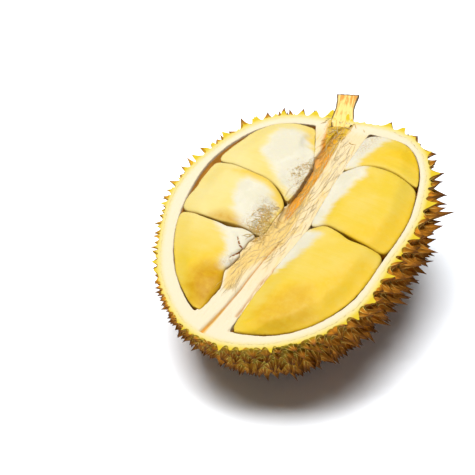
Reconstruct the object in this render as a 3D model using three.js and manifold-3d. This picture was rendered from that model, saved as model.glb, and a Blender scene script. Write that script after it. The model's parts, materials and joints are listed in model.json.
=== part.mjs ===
// Half of a durian, cut lengthwise through the stalk and lying on its spiny back.
//
// Every piece is shaped in the fruit's own frame: x to the right across the cut face, y along the
// fruit towards the stalk, z out of the cut face, which is the plane z = 0. The whole is then tipped
// and stood on z = 0, with the origin under the middle of its box. All lengths are millimetres.

import * as THREE from "three";
import { ConvexHull } from "three/addons/math/ConvexHull.js";
import { mergeVertices } from "three/addons/utils/BufferGeometryUtils.js";
import Module from "manifold-3d";

const wasm = await Module();
wasm.setup();

// ---- Driving dimensions ---------------------------------------------------------------------

// Round the cut face every 30 degrees, from +x towards +y: the distance from its middle to the foot
// of the spines, and the rind and pith together. The stalk is at 90 degrees, the blossom end at 270.
const RIM_RADII = [90.5, 104, 121.5, 105, 103, 91, 85, 82.5, 91.5, 104, 103, 98];
const WALL_WIDTHS = [5.8, 6.6, 7, 9, 8, 7.5, 12, 10.3, 12, 12, 7.8, 7.4];
const DEPTH = 91; // from the cut face to the foot of the spines on the back
const SUTURE_DEPTH = 0.035; // groove between the two lobes, as a share of the radius
const SUTURE_WIDTH = 0.2;
const SKEW = 0.15; // deeper under the stalk end than under the blossom end, as a share of DEPTH
const BELLY = 0.34; // fullness under the blossom end, as a share of the radius
const SHOULDER = 4.5; // how far the right side swells out below the cut
const SHOULDER_TURN = THREE.MathUtils.degToRad(8); // where it is fullest
const SHOULDER_BAND = 0.3; // how far below the cut it is full, as a share of DEPTH

const SKIN = 3; // rind under the spines
const BACK_WALL = 10; // rind and pith together, at the back
const GAP = 0.35; // between pieces that touch
const FLESH_GAP = 1.2; // between the flesh and its chamber
const LOBE_GAP = 0.5; // at each end of a lobe

const SPINE_COUNT = 1050; // over the whole fruit, about half of them on this side of the cut
const SPINE_HEIGHT = 11.5;
const SPINE_END_SHARE = 0.6; // height of the spines at the two ends of the fruit
const SPINE_RIM_SHARE = 0.4; // height of those that the knife ran through
const SPINE_RIM_BAND = 0.12; // how far below the cut that reaches, as a share of DEPTH
const SPINE_FLANK = { out: 0.46, up: 0.36 }; // where the hollow flank of a spine bends
const SPINE_JITTER = 0.16; // how far a spine strays from its even place, as a share of their spacing
const SPINE_LEAN = 0.22; // how far its tip strays, as a share of its height
const SPINE_UNEVENNESS = 0.2; // spread of the heights

const TILT = THREE.MathUtils.degToRad(12.5); // stalk end up
const ROLL = THREE.MathUtils.degToRad(-2); // right side up
const FLOOR_CUT = 4; // how much the lowest spine is blunted where the fruit rests

// ---- Small helpers --------------------------------------------------------------------------

// A seeded random number from 0 to 1.
function randomFrom(seed) {
  let state = seed >>> 0;
  return () => {
    state = (Math.imul(state, 1664525) + 1013904223) >>> 0;
    return state / 2 ** 32;
  };
}

const mix = (a, b, share) => a + (b - a) * share;
const signedPower = (value, power) => Math.sign(value) * Math.abs(value) ** power;
const smooth = (value) => THREE.MathUtils.smoothstep(value, 0, 1);

// A smooth curve through [position, value] pairs.
function curveThrough(pairs) {
  const points = pairs.map(([at, value]) => new THREE.Vector2(at, value));
  const samples = new THREE.SplineCurve(points).getPoints(120);
  return (at) => {
    const next = samples.findIndex((p) => p.x >= at);
    if (next <= 0) return next === 0 ? samples[0].y : samples.at(-1).y;
    const [a, b] = [samples[next - 1], samples[next]];
    return mix(a.y, b.y, (at - a.x) / (b.x - a.x));
  };
}

function solidOf(geometry) {
  geometry.deleteAttribute("normal");
  geometry.deleteAttribute("uv");
  const merged = mergeVertices(geometry, 1e-4);
  const mesh = new wasm.Mesh({
    numProp: 3,
    vertProperties: new Float32Array(merged.attributes.position.array),
    triVerts: new Uint32Array(merged.index.array),
  });
  return new wasm.Manifold(mesh);
}

function geometryOf(solid) {
  const mesh = solid.getMesh();
  return new THREE.BufferGeometry()
    .setAttribute("position", new THREE.BufferAttribute(new Float32Array(mesh.vertProperties), 3))
    .setIndex(new THREE.BufferAttribute(new Uint32Array(mesh.triVerts), 1));
}

// A solid made from a ball, each unit direction of which is sent to a point by place.
function shapedBall(around, along, place) {
  const ball = new THREE.SphereGeometry(1, around, along);
  const position = ball.attributes.position;
  const direction = new THREE.Vector3();
  for (let i = 0; i < position.count; i++) {
    direction.fromBufferAttribute(position, i).normalize();
    position.setXYZ(i, ...place(direction).toArray());
  }
  return solidOf(ball);
}

// ---- The fruit's outer form -----------------------------------------------------------------

// A smooth curve round the cut face through values at even angles.
function roundCurve(values, angle) {
  const turn = (THREE.MathUtils.euclideanModulo(angle, Math.PI * 2) / (Math.PI * 2)) * values.length;
  const first = Math.floor(turn);
  const [a, b, c, d] = [-1, 0, 1, 2].map((k) => values[(first + k + values.length) % values.length]);
  const t = turn - first;
  return b + 0.5 * t * (c - a + t * (2 * a - 5 * b + 4 * c - d + t * (3 * (b - c) + d - a)));
}

const rimRadius = (angle) => roundCurve(RIM_RADII, angle);
const wallThickness = (angle) => roundCurve(WALL_WIDTHS, angle);

// How far the surface stands out, below the cut, beyond the rim.
function shoulder(angle, below) {
  const facing = Math.max(0, Math.cos(angle - SHOULDER_TURN)) ** 10;
  return SHOULDER * facing * smooth(below / SHOULDER_BAND);
}

// The point of the fruit's surface in a direction, inset below the foot of the spines.
function bodyPoint(direction, inset = 0) {
  const flat = Math.hypot(direction.x, direction.y);
  const angle = Math.atan2(direction.y, direction.x);
  const below = smooth(-direction.z / 0.5);
  const groove = 1 - SUTURE_DEPTH * below * Math.exp(-((direction.x / SUTURE_WIDTH) ** 2));
  const belly = 1 + BELLY * Math.max(0, -direction.y) ** 2 * Math.max(0, -direction.z) ** 2;
  const fullness = groove * belly;
  const radius = (rimRadius(angle) + shoulder(angle, -direction.z) - inset) * flat * fullness;
  return new THREE.Vector3(
    radius * Math.cos(angle),
    radius * Math.sin(angle),
    (DEPTH - inset) * (1 + SKEW * direction.y) * direction.z * fullness,
  );
}

function bodyNormal(direction) {
  const side = new THREE.Vector3(0, 0, 1).cross(direction);
  if (side.lengthSq() < 1e-6) side.set(1, 0, 0);
  side.normalize();
  const up = direction.clone().cross(side);
  const at = (a, b) =>
    bodyPoint(direction.clone().addScaledVector(side, a).addScaledVector(up, b).normalize());
  const step = 0.02;
  const alongSide = at(step, 0).sub(at(-step, 0));
  const alongUp = at(0, step).sub(at(0, -step));
  const normal = alongSide.cross(alongUp).normalize();
  return normal.dot(direction) < 0 ? normal.negate() : normal;
}

// Seeds of the spines: an even spiral round the fruit's length, a little disturbed.
function spineDirections() {
  const random = randomFrom(7);
  const golden = Math.PI * (3 - Math.sqrt(5));
  const spread = SPINE_JITTER * Math.sqrt((4 * Math.PI) / SPINE_COUNT);
  return Array.from({ length: SPINE_COUNT }, (_, i) => {
    const y = 1 - (2 * (i + 0.5)) / SPINE_COUNT;
    const ring = Math.sqrt(1 - y * y);
    const turn = golden * i;
    return new THREE.Vector3(
      ring * Math.cos(turn) + spread * (2 * random() - 1),
      y + spread * (2 * random() - 1),
      ring * Math.sin(turn) + spread * (2 * random() - 1),
    ).normalize();
  });
}

// The spiny outside of the whole fruit. Neighbouring seeds make triangles whose middles are the
// valleys, and each spine rises over its own cell as a many-sided point with hollow flanks.
function spinyBody() {
  const random = randomFrom(23);
  const seeds = spineDirections();
  const hull = new ConvexHull().setFromPoints(seeds);
  const index = new Map(seeds.map((seed, i) => [seed, i]));

  const spines = seeds.map((seed) => {
    const normal = bodyNormal(seed);
    const atEnds = mix(1, SPINE_END_SHARE, Math.abs(seed.y) ** 4);
    const atRim = mix(SPINE_RIM_SHARE, 1, smooth(-seed.z / SPINE_RIM_BAND));
    const height = SPINE_HEIGHT * atEnds * atRim * (1 + SPINE_UNEVENNESS * (random() - 0.5));
    const foot = bodyPoint(seed);
    const lean = new THREE.Vector3(random() - 0.5, random() - 0.5, random() - 0.5);
    const tip = foot.clone().addScaledVector(normal, height).addScaledVector(lean, SPINE_LEAN * height);
    return { foot, normal, height, tip };
  });

  const points = [];
  const faces = [];
  const addPoint = (point) => points.push(point) - 1;
  spines.forEach((spine) => {
    spine.tipIndex = addPoint(spine.tip);
  });

  const corners = hull.faces.map((face) => {
    const cell = [face.getEdge(0), face.getEdge(1), face.getEdge(2)].map((e) => index.get(e.head().point));
    const middle = new THREE.Vector3();
    cell.forEach((i) => middle.add(seeds[i]));
    const valley = bodyPoint(middle.normalize());
    const flanks = new Map(
      cell.map((i) => {
        const { foot, normal, height } = spines[i];
        const bend = foot.clone().lerp(valley, SPINE_FLANK.out);
        return [i, addPoint(bend.addScaledVector(normal, SPINE_FLANK.up * height))];
      }),
    );
    return { cell, valley: addPoint(valley), flanks };
  });

  const cornerLeftOf = new Map();
  corners.forEach((corner) => {
    corner.cell.forEach((from, k) => {
      cornerLeftOf.set(`${from},${corner.cell[(k + 1) % 3]}`, corner);
    });
  });
  cornerLeftOf.forEach((left, edge) => {
    const [from, to] = edge.split(",").map(Number);
    const right = cornerLeftOf.get(`${to},${from}`);
    const [innerRight, innerLeft] = [right.flanks.get(from), left.flanks.get(from)];
    faces.push(
      [spines[from].tipIndex, innerRight, innerLeft],
      [innerRight, right.valley, left.valley],
      [innerRight, left.valley, innerLeft],
    );
  });

  const geometry = new THREE.BufferGeometry().setFromPoints(points).setIndex(faces.flat());
  return { solid: solidOf(geometry), spines };
}

// ---- Cutting tools --------------------------------------------------------------------------

const FAR = 600;

// How the fruit is tipped when it lies on its back.
const standingTurn = new THREE.Matrix4().makeRotationFromEuler(new THREE.Euler(TILT, ROLL, 0));

// Everything above the cut face.
function aboveCut() {
  return solidOf(new THREE.BoxGeometry(FAR, FAR, FAR).translate(0, 0, FAR / 2));
}

// Everything below the surface that the tipped fruit stands on, at that height in the tipped frame.
function belowFloor(height) {
  const box = new THREE.BoxGeometry(FAR, FAR, FAR).translate(0, 0, height - FAR / 2);
  return solidOf(box.applyMatrix4(standingTurn.clone().invert()));
}

// ---- Chambers and flesh ---------------------------------------------------------------------

// The edge of the chamber's wall at a height y on one side, -1 for left and 1 for right.
const innerRim = Array.from({ length: 361 }, (_, degree) => {
  const angle = THREE.MathUtils.degToRad(degree);
  const radius = rimRadius(angle) - wallThickness(angle);
  return new THREE.Vector2(radius * Math.cos(angle), radius * Math.sin(angle));
});

function wallEdge(side, y) {
  let furthest = 0;
  for (let i = 1; i < innerRim.length; i++) {
    const [a, b] = [innerRim[i - 1], innerRim[i]];
    if ((a.y - y) * (b.y - y) > 0) continue;
    const x = a.y === b.y ? a.x : mix(a.x, b.x, (y - a.y) / (b.y - a.y));
    furthest = Math.max(furthest, side * x);
  }
  return side * furthest;
}

// The chamber's depth under a point of the cut face.
function chamberDepth(x, y) {
  const angle = Math.atan2(y, x);
  const share = Math.min(1, Math.hypot(x, y) / (rimRadius(angle) - wallThickness(angle)));
  const skew = 1 + (SKEW * y) / rimRadius(Math.PI / 2);
  return (DEPTH - BACK_WALL) * skew * Math.sqrt(1 - share * share);
}

const MIDDLE_OF_SIDE = 45; // from the middle of the cut face to about the middle of a chamber

const CHAMBERS = {
  left: {
    side: -1,
    low: -88,
    high: 93.5,
    septum: curveThrough([
      [-88, -13], [-66, -6], [-50, -13], [-38, -17], [-26, -17], [-16, -4], [0, -2], [55, -1], [94, -17],
    ]),
  },
  right: {
    side: 1,
    low: -94,
    high: 101,
    septum: curveThrough([[-92, 17], [-50, 19], [0, 25], [50, 23], [100, 24]]),
  },
};

// A line straight across a chamber, at a height y.
const straight = (y) => () => y;

// Flesh of each chamber, from the blossom end to the stalk: the lines that bound its lobes, from
// [x, y] on the cut face, how far each lobe swells above that face, and how far it has shrunk from
// the husk.
const FLESH = {
  left: {
    lines: [
      straight(-86.5),
      curveThrough([[-90, -15], [-65, -16.5], [-30, -17.5], [-15, -15.5], [0, -17]]),
      curveThrough([[-90, 34], [-60, 34], [-29, 31.5], [-17, 28.5], [-7, 23], [0, 16]]),
      straight(90),
    ],
    swell: [5, 6, 5],
    shrink: [0, 2, 2],
  },
  right: {
    lines: [
      straight(-92),
      curveThrough([[15, 3], [28, 6], [36, 9], [49, 7], [62, 4.5], [95, 3]]),
      curveThrough([[15, 53], [22, 59], [34, 67], [50, 70.5], [69, 67.5], [95, 60]]),
      straight(98),
    ],
    swell: [7, 7, 5],
    shrink: [0, 0, 0],
  },
};
const LOBE_NAMES = ["lower", "middle", "upper"];

const LOBE_SQUARENESS = 12; // how blunt a lobe is at its ends
const CHAMBER_SQUARENESS = 30; // how blunt a chamber is at its ends
const SIDE_SQUARENESS = 2.3; // how blunt both are across

// Fills a stretch of a chamber with a pillow-like body, kept clear of the walls by gap.
function chamberBody({ chamber, from, to, squareness, swell, gap, shrink, around, along }) {
  const { side, septum } = CHAMBERS[chamber];
  return shapedBall(around, along, (direction) => {
    const reach = Math.sqrt(Math.max(0, 1 - direction.y ** 2));
    const girth = Math.max(0, 1 - Math.abs(direction.y) ** squareness) ** (1 / squareness);
    const across = reach ? girth * signedPower((side * direction.x) / reach, 2 / SIDE_SQUARENESS) : 0;
    const upward = reach ? girth * signedPower(direction.z / reach, 2 / SIDE_SQUARENESS) : 0;

    // The ends bend with x and the sides with y, so the place is closed in on.
    const point = new THREE.Vector2(side * MIDDLE_OF_SIDE, 0);
    for (let pass = 0; pass < 4; pass++) {
      point.y = mix(from(point.x), to(point.x), (direction.y + 1) / 2);
      const inner = septum(point.y) + side * gap;
      const outer = wallEdge(side, point.y) - side * (gap + shrink);
      point.x = mix(inner, outer, (across + 1) / 2);
    }
    const z = upward * (upward > 0 ? swell : chamberDepth(point.x, point.y) - gap);
    return new THREE.Vector3(point.x, point.y, z);
  });
}

function chamberHollow(name) {
  const { low, high } = CHAMBERS[name];
  const open = { squareness: CHAMBER_SQUARENESS, swell: 30, gap: 0, shrink: 0, around: 28, along: 30 };
  return chamberBody({ chamber: name, from: straight(low), to: straight(high), ...open });
}

function fleshLobe(chamber, number) {
  const { lines, swell, shrink } = FLESH[chamber];
  return chamberBody({
    chamber,
    from: (x) => lines[number](x) + LOBE_GAP,
    to: (x) => lines[number + 1](x) - LOBE_GAP,
    squareness: LOBE_SQUARENESS,
    swell: swell[number],
    gap: FLESH_GAP,
    shrink: shrink[number],
    around: 18,
    along: 12,
  });
}

// The sunken fibrous channel beside the septum, from the stalk down.
function coreChannel() {
  const channel = { x: 3.5, y: 48, halfWidth: 6, halfLength: 52, depth: 6 };
  return shapedBall(12, 12, (d) =>
    new THREE.Vector3(
      channel.x + channel.halfWidth * d.x,
      channel.y + channel.halfLength * d.y,
      channel.depth * d.z,
    ),
  );
}

// ---- Stalk ----------------------------------------------------------------------------------

const STALK = { foot: [1.5, 99], lean: THREE.MathUtils.degToRad(18) };
// Radius along the stalk, from the root to the cut end.
const STALK_PROFILE = [[0, 7], [6, 8.6], [10, 8.4], [19, 7.2], [28, 7.8], [34, 8.8]];

// The round stalk before it is cut, grown outwards by a clearance.
function stalkRound(clearance) {
  const profile = STALK_PROFILE.map(([along, radius]) => new THREE.Vector2(radius + clearance, along));
  profile.unshift(new THREE.Vector2(0, -clearance));
  profile[1].y -= clearance;
  profile.push(new THREE.Vector2(0, STALK_PROFILE.at(-1)[0]));
  const round = new THREE.LatheGeometry(profile, 16);
  return solidOf(round.rotateZ(STALK.lean).translate(...STALK.foot, 0));
}

// ---- The pieces -----------------------------------------------------------------------------

const outside = spinyBody();
const tipHeights = outside.spines.map(({ tip }) => tip.clone().applyMatrix4(standingTurn).z);
const floor = Math.min(...tipHeights) + FLOOR_CUT;

const cutAway = aboveCut();
const stalkSocket = stalkRound(GAP);

const spinyRind = outside.solid
  .subtract(cutAway)
  .subtract(belowFloor(floor))
  .subtract(shapedBall(32, 20, (direction) => bodyPoint(direction, SKIN)))
  .subtract(stalkSocket);

const pith = shapedBall(32, 20, (direction) => bodyPoint(direction, SKIN + GAP))
  .subtract(cutAway)
  .subtract(chamberHollow("left"))
  .subtract(chamberHollow("right"))
  .subtract(coreChannel())
  .subtract(stalkSocket);

const stalk = stalkRound(0).subtract(cutAway);

const COLOURS = {
  rind: { color: 0x8a6a22, roughness: 0.6 },
  pith: { color: 0xf3e3b0, roughness: 0.75 },
  stalk: { color: 0xc99a55, roughness: 0.8 },
  flesh: { color: 0xf2c93a, roughness: 0.45 },
};

function piece(name, solid, colour) {
  const material = new THREE.MeshStandardMaterial({ ...COLOURS[colour], metalness: 0 });
  const mesh = new THREE.Mesh(geometryOf(solid), material);
  mesh.name = name;
  return mesh;
}

const fruit = new THREE.Group();
fruit.add(piece("spiny_rind", spinyRind, "rind"));
fruit.add(piece("pith", pith, "pith"));
fruit.add(piece("stalk", stalk, "stalk"));
Object.keys(FLESH).forEach((side) => {
  LOBE_NAMES.forEach((name, number) => {
    fruit.add(piece(`flesh_${side}_${name}`, fleshLobe(side, number), "flesh"));
  });
});
fruit.rotation.set(TILT, ROLL, 0);

const standing = new THREE.Group();
standing.add(fruit);
const box = new THREE.Box3().setFromObject(standing, true);
const middle = box.getCenter(new THREE.Vector3());
fruit.position.set(-middle.x, -middle.y, -box.min.z);

export default standing;
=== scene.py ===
"""Looks of half a durian: spiny rind, pith, stalk and six lobes of flesh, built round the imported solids.

The fruit has its own frame, in millimetres: x to the right across the cut face, y along the fruit
towards the stalk, z out of the cut face, which is z = 0. Forms and patterns are worked out there,
and to_world sets them in the scene, where the fruit lies tipped on its back.
"""

import json
import math

import bmesh
import bpy
import numpy as np
from bpy.props import FloatProperty, FloatVectorProperty, IntProperty, PointerProperty
from mathutils import Matrix, Vector, noise
from mathutils.bvhtree import BVHTree

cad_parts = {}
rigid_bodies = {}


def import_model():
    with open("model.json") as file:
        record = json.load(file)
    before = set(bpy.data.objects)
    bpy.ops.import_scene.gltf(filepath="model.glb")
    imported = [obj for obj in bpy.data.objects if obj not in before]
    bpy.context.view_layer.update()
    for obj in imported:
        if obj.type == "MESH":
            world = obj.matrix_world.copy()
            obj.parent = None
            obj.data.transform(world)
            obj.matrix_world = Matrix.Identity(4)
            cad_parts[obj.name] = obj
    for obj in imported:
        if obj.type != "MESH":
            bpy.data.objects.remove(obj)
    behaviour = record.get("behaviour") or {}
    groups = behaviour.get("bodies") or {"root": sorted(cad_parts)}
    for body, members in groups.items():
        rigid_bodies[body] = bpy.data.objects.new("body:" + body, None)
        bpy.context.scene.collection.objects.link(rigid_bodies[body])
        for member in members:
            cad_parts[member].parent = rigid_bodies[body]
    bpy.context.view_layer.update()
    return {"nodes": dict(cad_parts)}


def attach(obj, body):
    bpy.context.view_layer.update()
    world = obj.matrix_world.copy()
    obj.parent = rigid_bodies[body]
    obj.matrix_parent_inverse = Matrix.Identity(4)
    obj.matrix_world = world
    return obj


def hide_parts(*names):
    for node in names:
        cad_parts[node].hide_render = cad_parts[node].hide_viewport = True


bl_info = {
    "name": "Half durian",
    "version": (1, 0, 0),
    "blender": (4, 5, 0),
    "location": "3D View > Sidebar > Durian",
    "description": "Builds the rind, pith, stalk and flesh of half a durian",
    "category": "Add Mesh",
}

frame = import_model()

# ---- Form of the fruit, in millimetres, as in the solids --------------------------------------

MM = 0.001
MERGE = 1e-6  # vertices nearer than this, in metres, become one
TILT = math.radians(12.5)
ROLL = math.radians(-2)
FRUIT_PLACE = (-5.54, -13.02, 95.51)  # of the cut face's middle

# Every 30 degrees round the cut face from +x: its radius, and the rind and pith together.
RIM_RADII = (90.5, 104, 121.5, 105, 103, 91, 85, 82.5, 91.5, 104, 103, 98)
WALL_WIDTHS = (5.8, 6.6, 7, 9, 8, 7.5, 12, 10.3, 12, 12, 7.8, 7.4)
DEPTH = 91  # from the cut face to the back
SUTURE_DEPTH = 0.035  # of the groove along the back, as a share of the radius
SUTURE_WIDTH = 0.2
SKEW = 0.15  # how much deeper the fruit is by the stalk than in its middle
BELLY = 0.34  # how far the back bulges by the blossom end
SHOULDER = 4.5  # how far the right side stands out below the cut
SHOULDER_TURN = math.radians(8)
SHOULDER_BAND = 0.3
SKIN = 3  # under the spines
BACK_WALL = 10  # rind and pith at the back
FLESH_GAP = 1.2  # between the flesh and its chamber
SIDES = {"left": -1, "right": 1}
SEPTUM = {  # the core's edge towards each side, as (y, x)
    "left": (
        (-88, -13), (-66, -6), (-50, -13), (-38, -17), (-26, -17), (-16, -4), (0, -2), (55, -1), (94, -17),
    ),
    "right": ((-92, 17), (-50, 19), (0, 25), (50, 23), (100, 24)),
}
LOBE_LINES = {  # between the lobes of each side, from the blossom end to the stalk, as (x, y)
    "left": (
        ((0, -86.5),),
        ((-90, -15), (-65, -16.5), (-30, -17.5), (-15, -15.5), (0, -17)),
        ((-90, 34), (-60, 34), (-29, 31.5), (-17, 28.5), (-7, 23), (0, 16)),
        ((0, 90),),
    ),
    "right": (
        ((14, -86.5), (18, -89), (22, -91), (28, -92), (60, -92)),
        ((15, 3), (28, 6), (36, 9), (49, 7), (62, 4.5), (95, 3)),
        ((15, 53), (22, 59), (34, 67), (50, 70.5), (69, 67.5), (95, 60)),
        ((15, 93.5), (24, 96.5), (34, 100), (44, 101), (60, 101), (90, 99)),
    ),
}
LOBE_NAMES = ("lower", "middle", "upper")
LOBE_SWELL = {"left": (5, 6, 5), "right": (7, 7, 5)}
HUSK_GAP = {  # between the flesh and the husk at the cut face, as (y, width)
    "left": ((-20, 0), (-8, 1), (10, 3), (34, 4.4), (58, 3.4), (74, 1), (90, 0.3)),
    "right": ((0, 0),),
}
CORE_GAP = {  # between the flesh and the core, as (y, width); below 0 they have grown together
    "left": (
        (-88, -3.5), (-80, -2.2), (-70, 0.3), (-60, 0.3), (-52, -1), (-46, -5), (-40, -8.5), (-31, -10),
        (-26, -9), (-20, -2.5), (-14, -1), (20, -1), (90, -0.6),
    ),
    "right": ((-90, 0.3), (-40, 0.3), (-28, -0.6), (90, -0.6)),
}
LOBE_SQUARENESS = 12  # of a lobe's outline along the fruit; 2 is round
SIDE_SQUARENESS = 2.3  # and across it
STALK_FOOT = (1.5, 99, 0)
STALK_LEAN = math.radians(18)
STALK_PROFILE = ((0, 7), (6, 8.6), (10, 8.4), (19, 7.2), (28, 7.8), (34, 8.8))  # along, radius

SPINE_COUNT = 2050
SPINE_CROWDING = (0.25, 0.16)  # closer together on the left, and at the blossom end
SPINE_END_SHARE = 0.75  # of a spine's full height, at both ends of the fruit
SPINE_RIM_SHARE = {"left": 1, "right": 0.66}  # the same beside the cut
SPINE_RIM_BAND = 0.25  # how far down from the cut that reaches, as a share of the radius
SPINE_JITTER = 0.27  # of their spacing
SPINE_LEAN = 0.7  # of their height, any way
SPINE_HOOK = 0.22  # of their height, towards the stalk
SPINE_REACH = 0.14  # how far past the cut they grow before it is made, as a share of the radius

STANDING = (
    Matrix.Translation(Vector(FRUIT_PLACE) * MM)
    @ Matrix.Rotation(TILT, 4, "X")
    @ Matrix.Rotation(ROLL, 4, "Y")
    @ Matrix.Scale(MM, 4)
)
CUT_POINT = STANDING @ Vector((0, 0, 0))
CUT_NORMAL = (STANDING.to_3x3() @ Vector((0, 0, 1))).normalized()


def moved(points, matrix):
    """Points taken through a 4 by 4 matrix."""
    matrix = np.array(matrix)
    return points @ matrix[:3, :3].T + matrix[:3, 3]


def to_world(points):
    """Fruit millimetres to world metres."""
    return moved(points, STANDING)


def to_fruit(points):
    """World metres to fruit millimetres."""
    return moved(points, STANDING.inverted())


def smooth(value):
    """Eases from 0 to 1."""
    value = np.clip(value, 0, 1)
    return value * value * (3 - 2 * value)


def mix(a, b, share):
    """Goes from a to b as share goes from 0 to 1."""
    return a + (b - a) * share


def unit(vectors):
    """The same directions at length 1."""
    return vectors / np.maximum(np.linalg.norm(vectors, axis=-1, keepdims=True), 1e-12)


def catmull(a, b, c, d, t):
    """A smooth curve's value between b and c."""
    return b + 0.5 * t * (c - a + t * (2 * a - 5 * b + 4 * c - d + t * (3 * (b - c) + d - a)))


def round_curve(values, angle):
    """A smooth curve round the cut face through values at even angles."""
    values = np.array(values, float)
    turn = np.mod(angle, 2 * math.pi) / (2 * math.pi) * len(values)
    first = np.floor(turn).astype(int)
    return catmull(*(values[(first + k) % len(values)] for k in (-1, 0, 1, 2)), turn - first)


def rim_radius(angle):
    """Distance from the middle of the cut face to the foot of the spines."""
    return round_curve(RIM_RADII, angle)


def curve_through(pairs):
    """A smooth curve through (position, value) pairs, held level beyond its ends."""
    points = np.array(pairs, float)
    last = len(points) - 1
    steps = np.linspace(0, last, 121)
    first = np.floor(steps).astype(int)
    around = (points[np.clip(first + k, 0, last)] for k in (-1, 0, 1, 2))
    at, value = catmull(*around, (steps - first)[:, None]).T
    return lambda position: np.interp(position, at, value)


def chamber_radius(angle):
    """Distance from the middle of the cut face to the inside of the husk."""
    return rim_radius(angle) - round_curve(WALL_WIDTHS, angle)


def shoulder(angle, below):
    """How far the surface stands out, below the cut, beyond the rim."""
    return SHOULDER * np.maximum(0, np.cos(angle - SHOULDER_TURN)) ** 10 * smooth(below / SHOULDER_BAND)


def body_point(direction, inset=0.0):
    """The fruit's surface under its spines, in each unit direction."""
    x, y, z = direction.T
    flat = np.hypot(x, y)
    angle = np.arctan2(y, x)
    groove = 1 - SUTURE_DEPTH * smooth(-z / 0.5) * np.exp(-((x / SUTURE_WIDTH) ** 2))
    belly = 1 + BELLY * np.maximum(0, -y) ** 2 * np.maximum(0, -z) ** 2
    radius = (rim_radius(angle) + shoulder(angle, -z) - inset) * flat * groove * belly
    down = (DEPTH - inset) * (1 + SKEW * y) * z * groove * belly
    return np.stack([radius * np.cos(angle), radius * np.sin(angle), down], 1)


def body_normal(direction):
    """The direction that the surface faces there, outwards."""
    side = unit(np.cross(np.tile([0.0, 0.0, 1.0], (len(direction), 1)), direction))
    up = np.cross(direction, side)
    run = lambda way: body_point(unit(direction + 0.02 * way)) - body_point(unit(direction - 0.02 * way))
    normal = unit(np.cross(run(side), run(up)))
    return normal * np.sign(np.sum(normal * direction, 1, keepdims=True))


def random_from(seed):
    """A seeded random number from 0 to 1, the same one that the solids use."""
    state = seed
    while True:
        state = (state * 1664525 + 1013904223) & 0xFFFFFFFF
        yield state / 2**32


def roughness_field(points, size, stretch=(1, 1, 1), offset=0.0):
    """Smooth noise, about -1 to 1, at points in millimetres. Lumps are size across."""
    scale = 1 / (size * np.array(stretch, float))
    return np.array([noise.noise(Vector(p)) for p in points * scale + offset])


# ---- Helpers for pieces ------------------------------------------------------------------------


def deselect():
    """Leaves edit mode and selects nothing."""
    if bpy.context.mode != "OBJECT":
        bpy.ops.object.mode_set(mode="OBJECT")
    bpy.ops.object.select_all(action="DESELECT")


def activate(piece):
    """Selects one piece alone and makes it active."""
    deselect()
    piece.select_set(True)
    bpy.context.view_layer.objects.active = piece


def edit(piece, select="SELECT"):
    """Enters edit mode with all or nothing selected."""
    activate(piece)
    bpy.ops.object.mode_set(mode="EDIT")
    bpy.ops.mesh.select_all(action=select)


def leave_edit():
    """Back to object mode, with the same piece active."""
    bpy.ops.object.mode_set(mode="OBJECT")


def piece_from(name, points, faces):
    """A new piece from points in fruit millimetres."""
    mesh = bpy.data.meshes.new(name)
    mesh.from_pydata(to_world(points).tolist(), [], faces)
    piece = bpy.data.objects.new(name, mesh)
    bpy.context.scene.collection.objects.link(piece)
    return piece


def copy_of_solid(node, name):
    """A free copy of a solid, with its loose triangles joined."""
    piece = frame["nodes"][node].copy()
    piece.data = piece.data.copy()
    piece.name = piece.data.name = name
    bpy.context.scene.collection.objects.link(piece)
    piece.parent = None
    for key in list(piece.keys()):
        del piece[key]
    edit(piece)
    bpy.ops.mesh.remove_doubles(threshold=MERGE)
    leave_edit()
    return piece


def remesh(piece, voxel):
    """Gives the piece an even skin of small faces, voxel millimetres across."""
    activate(piece)
    piece.data.remesh_voxel_size = voxel * MM
    bpy.ops.object.voxel_remesh()


def vertex_vectors(piece, name):
    """The place or the normal of each vertex, in the world."""
    flat = np.empty(len(piece.data.vertices) * 3)
    piece.data.vertices.foreach_get(name, flat)
    return flat.reshape(-1, 3)


def points_of(piece):
    """Vertices in fruit millimetres."""
    return to_fruit(vertex_vectors(piece, "co"))


def normals_of(piece):
    """Vertex normals in the fruit's frame."""
    return unit(vertex_vectors(piece, "normal") @ np.array(STANDING.to_3x3()))


def set_points(piece, points):
    """Moves the vertices to points in fruit millimetres."""
    piece.data.vertices.foreach_set("co", to_world(points).ravel())
    piece.data.update()


def set_values(piece, **values):
    """Stores numbers per vertex, by name, for the piece's material."""
    for name, numbers in values.items():
        layer = piece.data.attributes.new(name, "FLOAT", "POINT")
        layer.data.foreach_set("value", np.asarray(numbers, np.float32))


def dress(piece, material, slot, *nodes):
    """Gives a piece its material and its place on the fruit."""
    piece.data.materials.clear()
    piece.data.materials.append(material)
    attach(piece, "root")
    if nodes:
        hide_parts(*nodes)


def from_segment(points, start, end):
    """Each point's distance on the cut face to a line, and how far along the line that is, 0 to 1."""
    run = np.subtract(end, start)
    share = np.clip(((points[:, :2] - start) @ run) / (run @ run), 0, 1)
    return np.hypot(*(points[:, :2] - start - share[:, None] * run).T), share


def path_mark(points, path):
    """1 on a path of (x, y, half width), fading to 0 beside it."""
    best = np.full(len(points), 1e9)
    width = np.zeros(len(points))
    for (x0, y0, w0), (x1, y1, w1) in zip(path, path[1:]):
        away, share = from_segment(points, (x0, y0), (x1, y1))
        nearer = away < best
        best[nearer] = away[nearer]
        width[nearer] = mix(w0, w1, share)[nearer]
    return np.exp(-((best / width) ** 2))


# ---- Shader arithmetic -------------------------------------------------------------------------


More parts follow.
